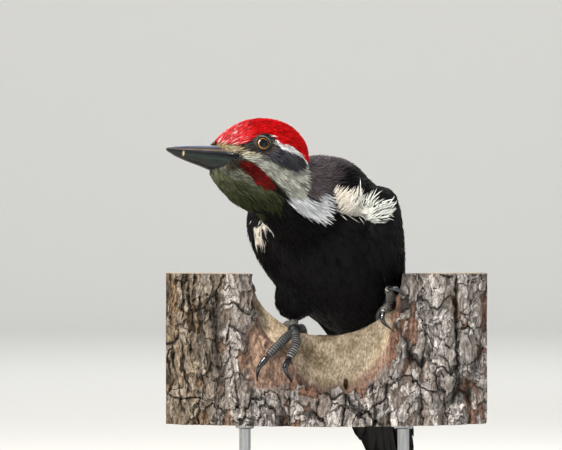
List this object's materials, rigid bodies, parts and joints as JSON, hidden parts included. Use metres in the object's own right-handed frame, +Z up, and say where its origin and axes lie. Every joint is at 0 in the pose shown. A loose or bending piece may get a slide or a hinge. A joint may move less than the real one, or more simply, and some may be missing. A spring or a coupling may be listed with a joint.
{
  "type": "bird display model",
  "caption": "Life-size male woodpecker with a red crown and white face stripes, leaning from a notched piece of tree trunk held up by a base and rods.",
  "frame": {"origin": "centre of the stand base's underside", "axes": "+Z up, -Y towards the viewer whom the perch's bark faces, +X to that viewer's right and towards the bird's left side"},
  "size_m": [0.253, 0.2525, 0.3544],
  "materials": {
    "crown_feathers": "barbed feathers, red on the crown, white, black and dark red on the face",
    "black_feathers": "overlapping black feathers with a soft sheen",
    "tail_feathers": "stiff black feathers with glossy shafts",
    "bill_horn": "satin slate horn",
    "eye": "wet, clear cornea over an amber iris",
    "foot_scales": "grey scaled skin",
    "claw_horn": "polished dark horn",
    "bark": "dry plated bark outside, pale cut wood inside",
    "base_wood": "dark satin varnish",
    "rod_steel": "brushed"
  },
  "bodies": {
    "root": {"bill_lower": "bill_horn", "bill_upper": "bill_horn", "claw_left_1": "claw_horn", "claw_left_2": "claw_horn", "claw_left_3": "claw_horn", "claw_left_4": "claw_horn", "claw_right_1": "claw_horn", "claw_right_2": "claw_horn", "claw_right_3": "claw_horn", "claw_right_4": "claw_horn", "eye_left": "eye", "eye_right": "eye", "head": "crown_feathers", "neck": "black_feathers", "perch": "bark", "primaries_left": "black_feathers", "primaries_right": "black_feathers", "stand_base": "base_wood", "stand_rod_left": "rod_steel", "stand_rod_right": "rod_steel", "tail": "tail_feathers", "tarsus_left": "foot_scales", "tarsus_right": "foot_scales", "thigh_left": "black_feathers", "thigh_right": "black_feathers", "toe_left_1": "foot_scales", "toe_left_2": "foot_scales", "toe_left_3": "foot_scales", "toe_left_4": "foot_scales", "toe_right_1": "foot_scales", "toe_right_2": "foot_scales", "toe_right_3": "foot_scales", "toe_right_4": "foot_scales", "trunk": "black_feathers", "wing_left": "black_feathers", "wing_right": "black_feathers"}
  },
  "joints": []
}
